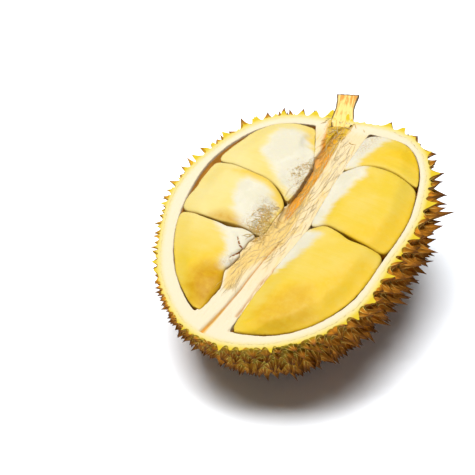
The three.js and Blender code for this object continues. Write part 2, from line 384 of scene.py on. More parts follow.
class Value:
    """A shader socket that adds, subtracts and multiplies as a number does."""

    def __init__(self, shade, socket):
        self.shade = shade
        self.socket = socket

    def _math(self, operation, *operands):
        return self.shade.node("ShaderNodeMath", {"operation": operation}, dict(enumerate(operands)))

    def __add__(self, other):
        return self._math("ADD", self, other)

    __radd__ = __add__

    def __sub__(self, other):
        return self._math("SUBTRACT", self, other)

    def __rsub__(self, other):
        return self._math("SUBTRACT", other, self)

    def __mul__(self, other):
        return self._math("MULTIPLY", self, other)

    __rmul__ = __mul__

    def clamp(self):
        return self.shade.node("ShaderNodeClamp", {}, {"Value": self})


class Shade:
    """One material, built from nodes."""

    def __init__(self, name):
        self.material = bpy.data.materials.new(name)
        self.material.use_nodes = True
        self.tree = self.material.node_tree
        self.tree.nodes.clear()
        self.output = self.tree.nodes.new("ShaderNodeOutputMaterial")

    def node(self, kind, settings, sockets, output=0):
        """A new node's output; sockets gives each input a link or a constant."""
        made = self.tree.nodes.new(kind)
        for key, value in settings.items():
            setattr(made, key, value)
        for key, value in sockets.items():
            if isinstance(value, Value):
                self.tree.links.new(value.socket, made.inputs[key])
            else:
                made.inputs[key].default_value = value
        return Value(self, made.outputs[output])

    def number(self, name):
        """One of the numbers that set_values stores."""
        return self.node("ShaderNodeAttribute", {"attribute_name": name}, {}, "Fac")

    def fruit(self):
        """The fruit's own coordinates, in millimetres."""
        place, turn, scale = STANDING.decompose()
        objective = self.node("ShaderNodeTexCoord", {}, {}, "Object")
        sockets = {"Vector": objective, "Location": place, "Rotation": turn.to_euler("XYZ"), "Scale": scale}
        return self.node("ShaderNodeMapping", {"vector_type": "TEXTURE"}, sockets)

    def vector(self, x, y, z):
        return self.node("ShaderNodeCombineXYZ", {}, {"X": x, "Y": y, "Z": z})

    def split(self, vector):
        made = self.node("ShaderNodeSeparateXYZ", {}, {"Vector": vector})
        return [Value(self, made.socket.node.outputs[axis]) for axis in "XYZ"]

    def noise(self, vector, size, detail, roughness, stretch=(1, 1, 1)):
        """Noise with lumps about size millimetres across, from 0 to 1."""
        scale = tuple(1 / (size * s) for s in stretch)
        stretched = self.node("ShaderNodeVectorMath", {"operation": "MULTIPLY"}, {0: vector, 1: scale})
        sockets = {"Vector": stretched, "Scale": 1.0, "Detail": detail, "Roughness": roughness}
        return self.node("ShaderNodeTexNoise", {}, sockets, "Fac")

    def ease(self, value, low, high):
        """0 below low, 1 above high, smooth between."""
        settings = {"interpolation_type": "SMOOTHSTEP"}
        return self.node("ShaderNodeMapRange", settings, {"Value": value, "From Min": low, "From Max": high})

    def blend(self, share, a, b):
        """Colour a turning to colour b as share goes from 0 to 1."""
        a, b = (colour if isinstance(colour, Value) else (*colour, 1.0) for colour in (a, b))
        return self.node("ShaderNodeMix", {"data_type": "RGBA"}, {0: share, 6: a, 7: b}, 2)

    def coat(self, tone, *layers):
        """A colour with others laid over it in turn, each with its share."""
        for share, colour in layers:
            tone = self.blend(share, tone, colour)
        return tone

    def bump(self, height, distance, strength, under=None):
        """Relief up to distance millimetres high."""
        sockets = {"Height": height, "Distance": distance * MM, "Strength": strength}
        if under is not None:
            sockets["Normal"] = under
        return self.node("ShaderNodeBump", {}, sockets)

    def finish(self, **sockets):
        """The material, with its surface from these sockets."""
        sockets = {name.replace("_", " "): value for name, value in sockets.items()}
        shader = self.node("ShaderNodeBsdfPrincipled", {}, sockets)
        self.tree.links.new(shader.socket, self.output.inputs["Surface"])
        return self.material


SHEEN = 0.12  # specular level of the skin, the pith and the flesh


def colour(red, green, blue):
    """A display colour, 0 to 255, as the linear value that a shader takes."""
    linear = lambda c: c / 12.92 if c <= 0.04045 else ((c + 0.055) / 1.055) ** 2.4
    return tuple(linear(c / 255) for c in (red, green, blue))


def colour_property(name, description, default):
    """A colour to choose."""
    return FloatVectorProperty(
        name=name, description=description, default=default, subtype="COLOR", size=3, min=0, max=1
    )


def length_property(name, description, default):
    """A length to set."""
    return FloatProperty(name=name, description=description, default=default, unit="LENGTH")


def place_property(name, description, default):
    """A point to set."""
    return FloatVectorProperty(
        name=name, description=description, default=default, subtype="TRANSLATION", unit="LENGTH"
    )


def spread_property(name, description, default):
    """A width and a height to set."""
    return FloatVectorProperty(name=name, description=description, default=default, size=2, unit="LENGTH")


# ---- Settings ----------------------------------------------------------------------------------


class RindSettings(bpy.types.PropertyGroup):
    spine_height: length_property("Spine height", "From foot to tip", 10.5 * MM)
    spine_bend: FloatProperty(
        name="Flank power", description="How hollow the flanks of a spine are; 1 is straight", default=1.4
    )
    face_hollow: FloatProperty(
        name="Face hollow", description="How far the faces sink between the ridges", default=0.36,
        subtype="FACTOR",
    )
    corner_lift: length_property("Corner lift", "Rise of the ridges where three spines meet", 0.9 * MM)
    rows: IntProperty(
        name="Rows", description="Rows of faces from a spine's foot to its tip", default=5, min=2
    )
    # Valley skin, darkened as painted shade between the spines
    shaded_valley: colour_property("Valley", "Skin between the spines", colour(117, 90, 15))
    green: colour_property("Green", "Green flush of the faces", colour(125, 117, 15))
    russet: colour_property("Russet", "Faces where the rind is not green", colour(184, 116, 24))
    gold: colour_property("Gold", "Faces on the golden side of the fruit", colour(183, 142, 19))
    ridge: colour_property("Ridge", "Pale ridges of the spines", colour(218, 185, 94))
    brown: colour_property("Brown", "Upper part of the spines", colour(150, 94, 13))
    tip: colour_property("Tip", "Dry points of the spines", colour(85, 48, 7))
    cut_skin: colour_property("Young skin", "Skin next to the cut", colour(183, 157, 21))


class PithSettings(bpy.types.PropertyGroup):
    voxel: length_property("Face size", "Size of the faces of the pith", 1.4 * MM)
    cream: colour_property("Cream", "Cut pith", colour(185, 174, 148))
    yellow: colour_property("Yellow", "Pith next to the skin", colour(182, 166, 94))
    skin: colour_property("Skin", "The knife's edge of the skin", colour(173, 150, 25))
    tan: colour_property("Tan", "Slopes of the core", colour(185, 155, 82))
    fibre: colour_property("Fibre", "Orange fibres of the core", colour(168, 112, 12))
    # Brown painted shade in the creases of the core and along the flesh's edge; also brown flecks among the
    # fibres
    crease: colour_property("Crease", "Brown creases", colour(151, 101, 33))
    root: colour_property("Root", "Brown crumbs where the stalk joins", colour(155, 86, 12))
    # Orange of the chambers' inner wall; also painted as shade in a sunken groove of the core
    wall: colour_property("Wall", "Inner wall of the chambers", colour(198, 132, 35))


class FleshSettings(bpy.types.PropertyGroup):
    voxel: length_property("Face size", "Size of the faces of the flesh", 1.3 * MM)
    yellow: colour_property("Yellow", "Ripe flesh", colour(178, 152, 41))
    # Paler flesh, also used as painted light on the upper left of the cut face
    light: colour_property("Light", "Paler flesh", colour(183, 171, 119))
    deep: colour_property("Deep", "Deep golden flesh", colour(183, 149, 20))
    olive_shade: colour_property("Olive", "Olive shadows in the flesh", colour(155, 112, 3))
    pale: colour_property("Pale", "Pale skin that the flesh keeps by the core", colour(179, 175, 159))
    shadow: colour_property("Shadow", "Greyer parts of the pale skin", colour(164, 157, 132))
    fluff: colour_property("Fluff", "Brownish fluff in the pale skin", colour(155, 119, 74))
    # Dark brown painted shade deep in the seams and along the cracks
    crack_shade: colour_property("Crack", "Flesh deep in the seams", colour(110, 59, 4))


class StalkSettings(bpy.types.PropertyGroup):
    wood: colour_property("Wood", "Cut wood of the stalk", colour(197, 173, 98))
    grain: colour_property("Grain", "Orange grain", colour(178, 121, 41))
    bark: colour_property("Bark", "Outside of the stalk", colour(78, 54, 18))


class StageSettings(bpy.types.PropertyGroup):
    camera_place: place_property("Camera place", "Where the camera stands", (0.28868, -0.51865, 0.60759))
    camera_turn: FloatVectorProperty(
        name="Camera turn", description="How the camera is turned",
        default=(math.radians(48.017), math.radians(1.539), math.radians(31.408)), subtype="EULER",
    )
    lens: FloatProperty(name="Lens", description="Focal length", default=83.54, unit="CAMERA")
    lamp_place: place_property("Lamp place", "Where the soft lamp hangs overhead", (-0.11, -0.14, 1.3))
    lamp_size: spread_property("Lamp size", "Width and depth of that lamp", (0.95, 0.6))
    lamp_power: FloatProperty(name="Lamp power", description="Power of that lamp", default=35, unit="POWER")
    fill_place: place_property("Fill place", "Where the low lamp stands in front", (-0.1, -1.6, 0.22))
    fill_tilt: FloatProperty(
        name="Fill tilt", description="How far that lamp is turned up from facing down",
        default=math.radians(86), unit="ROTATION",
    )
    fill_size: spread_property("Fill size", "Width and height of that lamp", (1.4, 0.3))
    fill_power: FloatProperty(name="Fill power", description="Power of that lamp", default=4.5, unit="POWER")
    sky: FloatProperty(name="Sky", description="Brightness of the even light from all round", default=0.085)
    floor: colour_property("Floor", "Colour of the floor", (0.93, 0.96, 1.0))


# ---- Rind --------------------------------------------------------------------------------------


def spine_seeds():
    """Directions of the spines: an even spiral round the fruit's length, a little disturbed."""
    draw = random_from(7)
    golden = math.pi * (3 - math.sqrt(5))
    spread = SPINE_JITTER * math.sqrt(4 * math.pi / SPINE_COUNT)
    seeds = []
    for i in range(SPINE_COUNT):
        y = 1 - 2 * (i + 0.5) / SPINE_COUNT
        y -= SPINE_CROWDING[1] * (1 - y * y)
        ring = math.sqrt(1 - y * y)
        turn = golden * i + SPINE_CROWDING[0] * math.sin(golden * i)
        even = np.array([ring * math.cos(turn), y, ring * math.sin(turn)])
        seeds.append(even + spread * (2 * np.array([next(draw), next(draw), next(draw)]) - 1))
    return unit(np.array(seeds))


def spine_stature(seeds, tallest):
    """Height of each spine, how far its tip leans, and a number that tints it."""
    draw = random_from(23)
    dice = np.array([[next(draw) for _ in range(5)] for _ in seeds])
    at_ends = mix(1, SPINE_END_SHARE, np.abs(seeds[:, 1]) ** 4)
    rim_share = mix(SPINE_RIM_SHARE["left"], SPINE_RIM_SHARE["right"], smooth(0.5 + seeds[:, 0]))
    at_rim = mix(rim_share, 1, smooth(-seeds[:, 2] / SPINE_RIM_BAND))
    spacing = (1 + SPINE_CROWDING[0] * seeds[:, 0]) * (1 + 2 * SPINE_CROWDING[1] * seeds[:, 1])
    height = tallest * spacing**0.8 * at_ends * at_rim * (0.75 + 0.4 * dice[:, 0])
    lean = (dice[:, 1:4] - 0.5) * SPINE_LEAN + (0, SPINE_HOOK, 0)
    return height, lean * height[:, None], dice[:, 4]


def spine_cells(seeds):
    """Valley corners, and sectors of the cells: a spine, and the two corners that the sector spans."""
    hull = bmesh.new()
    for seed in seeds:
        hull.verts.new(seed)
    bmesh.ops.convex_hull(hull, input=hull.verts)
    hull.verts.index_update()
    triangles = np.array([[v.index for v in face.verts] for face in hull.faces])
    hull.free()
    corners = unit(seeds[triangles].sum(1))
    first, second, third = (seeds[triangles[:, k]] for k in range(3))
    flipped = np.einsum("ij,ij->i", np.cross(second - first, third - first), corners) < 0
    triangles[flipped] = triangles[flipped][:, ::-1]
    left_of = {}
    for t, (a, b, c) in enumerate(triangles.tolist()):
        left_of.update({(a, b): t, (b, c): t, (c, a): t})
    sectors = [(a, left_of[b, a], t) for (a, b), t in left_of.items()]
    return corners, np.array(sectors)


def spiny_surface(settings):
    """Points, faces and per-point values of the spiny skin, cell by cell."""
    seeds = spine_seeds()
    height, lean, luck = spine_stature(seeds, settings.spine_height / MM)
    normal = body_normal(seeds)
    corners, sectors = spine_cells(seeds)
    sectors = sectors[seeds[sectors[:, 0], 2] < SPINE_REACH]

    rows = settings.rows
    grid = [(i, j) for i in range(rows + 1) for j in range(i + 1)]
    number = {key: n for n, key in enumerate(grid)}
    down = np.array([i / rows for i, _ in grid])
    across = np.array([j / i if i else 0.5 for i, j in grid])
    faces = [(number[i, j], number[i + 1, j], number[i + 1, j + 1]) for i, j in grid if i < rows]
    faces += [(number[i, j], number[i + 1, j + 1], number[i, j + 1]) for i, j in grid if i < rows and j < i]

    own = sectors[:, 0][:, None, None]
    weights = np.stack([1 - down, down * (1 - across), down * across], 1)
    anchors = np.stack([seeds[sectors[:, 0]], corners[sectors[:, 1]], corners[sectors[:, 2]]], 1)
    directions = unit(np.einsum("gk,skx->sgx", weights, anchors))
    up = 1 - down
    ridge = np.abs(2 * across - 1)
    rise = up**settings.spine_bend - settings.face_hollow * (1 - ridge**2) * up**0.9 * (1 - up) ** 0.7
    base = body_point(directions.reshape(-1, 3)).reshape(directions.shape)
    tall = height[own]
    corner_lift = settings.corner_lift / MM * ridge**3 * (1 - up) ** 6
    points = base + directions * corner_lift[None, :, None]
    points += normal[sectors[:, 0]][:, None] * tall * rise[None, :, None]
    points += lean[sectors[:, 0]][:, None] * (up**2.2)[None, :, None]

    count = len(grid)
    all_faces = (np.array(faces)[None] + np.arange(len(sectors))[:, None, None] * count).reshape(-1, 3)
    values = {
        "rise": np.tile(up, len(sectors)),
        "ridge": np.tile(ridge, len(sectors)),
        "luck": np.repeat(luck[sectors[:, 0]], count),
    }
    return points.reshape(-1, 3), all_faces.tolist(), values


def lining(inset, around=72, down=14):
    """The bowl inside the skin, facing inwards."""
    points, faces = [], []
    for j in range(down):
        for i in range(around):
            turn, dip = 2 * math.pi * i / around, 0.5 * math.pi * j / down
            points.append((math.cos(turn) * math.cos(dip), math.sin(turn) * math.cos(dip), -math.sin(dip)))
    points.append((0, 0, -1))
    for j in range(down - 1):
        for i in range(around):
            k = (i + 1) % around
            faces.append((j * around + i, j * around + k, (j + 1) * around + k, (j + 1) * around + i))
    last = (down - 1) * around
    faces += [(last + i, last + (i + 1) % around, len(points) - 1) for i in range(around)]
    return body_point(np.array(points, float), inset), faces


def cut_tone(shade, inset, wavy, pith):
    """Colour of the knife's cut: bright yellow by the skin, then cream."""
    from_skin = inset + 2.6 * (wavy - 0.5)
    yellow, cream = shade.ease(from_skin, -2.5, 1.0), shade.ease(from_skin, -0.5, 5.5)
    return shade.coat(pith.skin, (yellow, pith.yellow), (cream, pith.cream))


def rind_material(settings, pith):
    shade = Shade("durian_rind")
    place = shade.fruit()
    across, along, out = shade.split(place)
    rise, ridge, luck = shade.number("rise"), shade.number("ridge"), shade.number("luck")
    patches = shade.noise(place, 24, 4, 0.6)
    grain = shade.noise(place, 2.4, 4, 0.65)
    speckle = shade.noise(place, 0.9, 2, 0.5)

    by_stalk = shade.ease(along, 30.0, 95.0)
    golden = 1 - shade.ease(across + 24.0 * (patches - 0.5), -70.0, -10.0)
    golden = golden * shade.ease(along + 20.0 * (patches - 0.5), -105.0, -55.0) * (1 - 0.7 * by_stalk)
    low_middle = (1 - shade.ease(along, -90.0, -40.0)) * shade.ease(across, -40.0, -5.0)
    greenish = 0.75 * by_stalk + 0.75 * low_middle + 1.3 * (patches - 0.5) + 0.9 * (luck - 0.5)
    near_cut = shade.ease(out + 3.0 * golden + 5.0 * (patches - 0.5), -6.0, -0.8) * (1 - 0.6 * by_stalk)
    dryness = rise + 0.4 * (patches - 0.5) + 0.4 * (grain - 0.5) + 0.3 * (luck - 0.5)
    ridges = shade.ease(ridge + 0.3 * (grain - 0.5), 0.8, 1.0) * (1 - shade.ease(rise, 0.35, 0.75))
    pointed = shade.ease(rise + 0.25 * (grain - 0.5), 0.55, 0.9)
    by_rim = shade.ease(out + 3.0 * (patches - 0.5), -5.0, -0.5) * (1 - shade.ease(rise, 0.0, 0.35))

    face = shade.coat(settings.russet, (greenish.clamp(), settings.green), (0.8 * golden, settings.gold))
    skin = shade.coat(
        # base: the valleys' skin, darkened with painted shade
        settings.shaded_valley,
        (near_cut, settings.cut_skin),
        (shade.ease(rise + 0.5 * (grain - 0.5), 0.0, 0.3), face),
        (shade.ease(dryness, 0.25, 0.65) * (1 - 0.7 * golden), settings.brown),
        (ridges * shade.ease(luck + 1.2 * (patches - 0.5), 0.1, 0.6), settings.ridge),
        (pointed * (1 - 0.45 * golden), settings.tip),
        ((0.3 + 0.55 * golden) * by_rim, settings.cut_skin),
        (0.35 * shade.ease(speckle, 0.5, 0.75), settings.tip),
        (shade.ease(out, -0.25, -0.05), cut_tone(shade, shade.number("inset"), grain, pith)),
    )
    relief = shade.bump(speckle, 0.15, 0.4, shade.bump(grain, 0.5, 0.6))
    return shade.finish(
        Base_Color=skin, Roughness=0.55 + 0.2 * grain, Normal=relief, Specular_IOR_Level=SHEEN
    )


class DURIAN_OT_rind(bpy.types.Operator):
    """Grow the spiny skin over its cells, cut it at the cut face and the floor, and line it"""

    bl_idname = "durian.rind"
    bl_label = "Spiny rind"

    def execute(self, context):
        settings = context.scene.durian_rind
        points, faces, values = spiny_surface(settings)
        skin = piece_from("rind_spines", points, faces)
        set_values(skin, **values)
        edit(skin)
        bpy.ops.mesh.remove_doubles(threshold=MERGE)
        bpy.ops.mesh.select_all(action="SELECT")
        bpy.ops.mesh.bisect(plane_co=CUT_POINT, plane_no=CUT_NORMAL, clear_outer=True)
        bpy.ops.mesh.select_all(action="SELECT")
        bpy.ops.mesh.bisect(plane_co=(0, 0, 0), plane_no=(0, 0, 1), clear_inner=True, use_fill=True)
        leave_edit()

        bowl = piece_from("rind_lining", *lining(SKIN))
        activate(skin)
        bowl.select_set(True)
        bpy.ops.object.join()
        edit(skin, "DESELECT")
        bpy.ops.mesh.select_mode(type="EDGE")
        bpy.ops.mesh.select_non_manifold(
            extend=False, use_wire=False, use_multi_face=False, use_non_contiguous=False, use_verts=False
        )
        bpy.ops.mesh.fill(use_beauty=True)
        bpy.ops.mesh.select_all(action="SELECT")
        bpy.ops.mesh.normals_make_consistent(inside=False)
        leave_edit()
        bpy.ops.object.shade_smooth_by_angle(angle=math.radians(32))
        x, y, _ = points_of(skin).T
        set_values(skin, inset=rim_radius(np.arctan2(y, x)) - np.hypot(x, y))
        dress(skin, rind_material(settings, context.scene.durian_pith), "rind", "spiny_rind")
        return {"FINISHED"}


# ---- Pith --------------------------------------------------------------------------------------

# Paths on the cut face, from the stalk down: x, y and half width.
STALK_ROOT = ((0, 105, 11), (1, 96, 11), (2, 87, 7), (3, 78, 4))
FIBRE_STRIP = (
    (0, 98, 9), (0, 84, 7), (3, 72, 4), (4.3, 63, 3.6), (4.8, 48, 4.4), (3.1, 36, 5.2), (4, 22, 5.5),
    (5, 12, 4),
)
TAN_SLOPE = (
    (6, 31, 6), (7, 16, 8), (7, 2, 8.5), (6, -13, 9.5), (1, -28, 10), (-4, -43, 7.5), (-2, -60, 4.5),
)
GOLDEN_END = ((5, -78, 1.2), (3, -90, 2.2), (0, -106, 3))
SUNKEN_EDGE = ((4.5, 54, 0.9), (1, 40, 1.4), (-2.5, 28, 1.6), (-3.5, 22, 1))
CREASE = (
    (12, -14, 0.5), (9.5, -26, 0.8), (8, -41, 0.8), (7, -59, 0.9), (5.5, -70, 1), (4, -82, 1.2),
    (0, -102, 1.6),
)
FLESH_EDGE = ((23, -30, 1), (20, -38, 1.3), (18, -50, 1.3), (17.5, -66, 1.3), (16, -80, 1))


def pith_relief(piece):
    """Fibres, creases and slopes of the pith, and the values that colour it."""
    points = points_of(piece)
    x, y, z = points.T
    angle = np.arctan2(y, x)
    inset = rim_radius(angle) - np.hypot(x, y)
    left, right = (curve_through(SEPTUM[side])(y) for side in ("left", "right"))
    on_top = smooth((z + 6) / 4)
    core = smooth((x - left + 2) / 3) * smooth((right + 2 - x) / 3) * smooth((inset - 8) / 8)
    near_core = core * on_top

    threads = roughness_field(points, 2.6, (1, 9, 1)) + 0.6 * roughness_field(points, 1.4, (1, 8, 1), 7.0)
    lumps = roughness_field(points, 9, (1, 2, 1), 3.0)
    strip, slope = path_mark(points, FIBRE_STRIP), path_mark(points, TAN_SLOPE)
    sunken, crease = path_mark(points, SUNKEN_EDGE), path_mark(points, CREASE)
    edge, golden_end = path_mark(points, FLESH_EDGE), path_mark(points, GOLDEN_END)

    open_part = smooth((92 - y) / 16)
    lift = near_core * (0.5 * threads + 0.7 * lumps - (0.9 * strip + 1.2 * slope) * open_part)
    lift -= on_top * (1.4 * sunken * core + 1.8 * crease + 0.8 * edge)
    root = path_mark(points, STALK_ROOT)
    crumbs = roughness_field(points, 3.5, offset=13.0) + 0.6 * roughness_field(points, 1.8, offset=17.0)
    lift += on_top * root * (0.6 + 1.1 * crumbs)
    lift += (1 - core) * on_top * 0.22 * roughness_field(points, 14, offset=5.0)
    points[:, 2] += lift
    wobble = 0.35 * roughness_field(points, 9, offset=9.0) + 0.2 * roughness_field(points, 3.5, offset=4.0)
    points += normals_of(piece) * (wobble * (1 - on_top))[:, None]
    points[:, :2] += unit(points[:, :2]) * (0.5 * smooth((inset - 5) / 3) * (1 - core) * wobble)[:, None]
    set_points(piece, points)
    # The creases, the sunken edge and the flesh's edge are stored for brown painted shade
    set_values(
        piece, inset=inset, core=core, root=root, strip=strip * core, edge=edge,
        slope=np.maximum(slope * core, golden_end), crease=np.maximum(crease, 0.8 * sunken * core),
    )


def pith_material(settings):
    shade = Shade("durian_pith")
    place = shade.fruit()
    across, along, out = shade.split(place)
    core, strip, slope = shade.number("core"), shade.number("strip"), shade.number("slope")
    crease, edge = shade.number("crease"), shade.number("edge")
    clouds = shade.noise(place, 12, 4, 0.6)
    threads = shade.noise(place, 2.2, 5, 0.65, (1, 10, 1))
    hairs = shade.noise(place, 0.8, 3, 0.6, (1, 12, 1))
    grit = shade.noise(place, 1.4, 3, 0.7)

    warm = core * shade.ease(threads + 0.4 * (clouds - 0.5), 0.5, 0.72)
    tanned = shade.ease(slope + 0.6 * (threads - 0.5) + 0.5 * (clouds - 0.5), 0.25, 0.8)
    fibrous = shade.ease(strip + 0.7 * (threads - 0.5), 0.25, 0.8)
    amber = fibrous * shade.ease(along, 25.0, 60.0) * shade.ease(threads + 0.3 * (clouds - 0.5), 0.38, 0.6)
    rough = (fibrous + 0.7 * tanned + 0.25 * core) * shade.ease(hairs + 0.6 * (grit - 0.5), 0.52, 0.68)
    # Painted shade: brown dashes along the groove at the flesh's edge
    edge_shade_dashes = edge * shade.ease(threads, 0.4, 0.55)
    rooted = shade.ease(shade.number("root") + 0.5 * (threads - 0.5) + 0.4 * (grit - 0.5), 0.3, 0.7)
    # Painted shade: the sunken groove on the core's left side, towards the stalk, is painted in the wall's
    # orange
    groove = core * shade.ease(along, 15.0, 40.0) * (1 - shade.ease(out, -2.2, -0.4))
    tone = shade.coat(
        cut_tone(shade, shade.number("inset"), shade.noise(place, 2.4, 4, 0.65), settings),
        ((0.3 * core + 0.5 * warm) * shade.ease(along, -75.0, -20.0), settings.tan),
        (0.8 * tanned, settings.tan),
        (fibrous, settings.fibre),
        (0.6 * amber, settings.root),
        (0.25 * rough.clamp(), settings.crease),
        # brown painted shade in the creases, the sunken edge and along the flesh's edge
        (0.8 * (shade.ease(crease, 0.35, 0.95) + edge_shade_dashes).clamp(), settings.crease),
        (0.85 * rooted, settings.fibre),
        (0.65 * rooted, settings.skin),
        (rooted * shade.ease(grit, 0.62, 0.72), settings.root),
        # orange painted shade in that groove
        (0.75 * groove * (1 - shade.ease(across, -1.0, 7.0)), settings.wall),
        (0.95 * (1 - shade.ease(out + 3.4 * core, -2.8, -0.5)), settings.wall),
    )
    relief = shade.bump(hairs, 0.25, 0.5, shade.bump(threads, 0.5, 0.5))
    return shade.finish(
        Base_Color=tone, Roughness=0.68 + 0.15 * clouds, Normal=relief, Specular_IOR_Level=SHEEN,
        Subsurface_Weight=0.1, Subsurface_Radius=(0.004, 0.003, 0.0015), Subsurface_Scale=1.0,
    )


def push_to_skin(piece):
    """Spreads the pith a little under the skin, so that no gap shows between the two."""
    points = points_of(piece)
    x, y, z = points.T
    from_skin = rim_radius(np.arctan2(y, x)) - np.hypot(x, y)
    outwards = smooth((SKIN + 3 - from_skin) / 2.5) * np.sqrt(np.clip(1 + z / DEPTH, 0, 1))
    points[:, :2] += unit(points[:, :2]) * (2.0 * outwards)[:, None]
    points[:, 2] += 0.12 * smooth((points[:, 2] + 4) / 3)
    set_points(piece, points)


class DURIAN_OT_pith(bpy.types.Operator):
    """Give the pith an even skin, finer on the cut face, and work in its fibres and creases"""

    bl_idname = "durian.pith"
    bl_label = "Pith"

    def execute(self, context):
        settings = context.scene.durian_pith
        piece = copy_of_solid("pith", "pith_wall")
        remesh(piece, settings.voxel / MM)
        push_to_skin(piece)
        edit(piece, "DESELECT")
        leave_edit()
        for face in piece.data.polygons:
            face.select = to_fruit(np.array([face.center]))[0, 2] > -5
        bpy.ops.object.mode_set(mode="EDIT")
        bpy.ops.mesh.select_mode(type="FACE")
        bpy.ops.mesh.subdivide(number_cuts=1, smoothness=0.5)
        leave_edit()
        pith_relief(piece)
        bpy.ops.object.shade_smooth()
        dress(piece, pith_material(settings), "pith", "pith")
        return {"FINISHED"}


# ---- Flesh -------------------------------------------------------------------------------------


def wall_edge(sign, y):
    """Where the chamber of a side ends at the husk, at a height y on the cut face."""
    angle = np.radians(np.arange(-90, 72)) if sign > 0 else np.radians(np.arange(270, 89, -1))
    radius = chamber_radius(angle)
    return np.interp(y, radius * np.sin(angle), radius * np.cos(angle))


def chamber_depth(x, y):
    """How far below the cut face the chamber ends, under a place on it."""
    angle = np.arctan2(y, x)
    share = np.minimum(1, np.hypot(x, y) / chamber_radius(angle))
    skew = 1 + SKEW * y / RIM_RADII[3]
    return (DEPTH - BACK_WALL) * skew * np.sqrt(1 - share * share)


def signed_power(value, power):
    """A power that keeps the sign."""
    return np.sign(value) * np.abs(value) ** power


def lobe_form(side, number, around=150, along=110):
    """Points and faces of a lobe: a pillow that fills its stretch of the chamber."""
    sign, septum = SIDES[side], curve_through(SEPTUM[side])
    husk_gap, core_gap = curve_through(HUSK_GAP[side]), curve_through(CORE_GAP[side])
    low, high = (curve_through(line) for line in LOBE_LINES[side][number : number + 2])
    place = np.sin(np.linspace(-0.5, 0.5, along + 1) * math.pi)
    turn = np.arange(around) * 2 * math.pi / around
    end, turn = (grid.ravel() for grid in np.meshgrid(place, turn, indexing="ij"))
    girth = np.maximum(0, 1 - np.abs(end) ** LOBE_SQUARENESS) ** (1 / LOBE_SQUARENESS)
    across = girth * signed_power(sign * np.cos(turn), 2 / SIDE_SQUARENESS)
    upward = girth * signed_power(np.sin(turn), 2 / SIDE_SQUARENESS)

    x = np.full(len(end), 45.0 * sign)
    for _ in range(5):
        y = mix(low(x) + seam_gap(x, low(x)), high(x) - seam_gap(x, high(x)), (end + 1) / 2)
        inner = septum(y) + sign * core_gap(y)
        outer = wall_edge(sign, y) - sign * (0.4 * FLESH_GAP + husk_gap(y))
        x = mix(inner, outer, (across + 1) / 2)
    free = {0: y - low(x), 1: np.full(len(x), 99.0), 2: high(x) - y}[number]
    from_edge = np.minimum(sign * (outer - x), free)
    if (side, number) != ("left", 0):
        from_edge = np.minimum(from_edge, sign * (x - inner))
    swell = LOBE_SWELL[side][number] * (1 - 0.16 * np.abs(end) ** 3) * mix(0.35, 1, smooth(from_edge / 16))
    z = np.where(upward > 0, upward * swell, upward * (chamber_depth(x, y) - FLESH_GAP))

    faces = []
    for ring in range(along):
        for step in range(around):
            a, b = ring * around + step, ring * around + (step + 1) % around
            faces.append((a, b, b + around, a + around))
    return np.stack([x, y, z], 1), faces


def seam_gap(x, y):
    """Half the crack between two lobes: a hair, with a few open places."""
    gap = np.full(len(x), 0.16)
    for at_x, at_y, half, depth in OPEN_SEAMS:
        gap += depth * np.exp(-(((x - at_x) / half) ** 2)) * (np.abs(y - at_y) < 12)
    return gap


def outline_mask(points, outline, soft):
    """1 inside an outline on the cut face, 0 outside it, easing over a width of soft."""
    corners = np.array(outline, float)
    away = np.full(len(points), 1e9)
    inside = np.zeros(len(points), bool)
    for (x0, y0), (x1, y1) in zip(corners, np.roll(corners, -1, 0)):
        away = np.minimum(away, from_segment(points, (x0, y0), (x1, y1))[0])
        crosses = (y0 > points[:, 1]) != (y1 > points[:, 1])
        left = points[:, 0] < x0 + (x1 - x0) * (points[:, 1] - y0) / ((y1 - y0) or 1)
        inside ^= crosses & left
    return smooth(0.5 + np.where(inside, away, -away) / soft)


# Open places of the seams: x, y, half length along the seam and half width.
OPEN_SEAMS = ((-26, -16, 8, 1.2), (58, 5, 6, 0.5), (55, 70, 16, 0.25), (-14, 28, 8, 0.15))
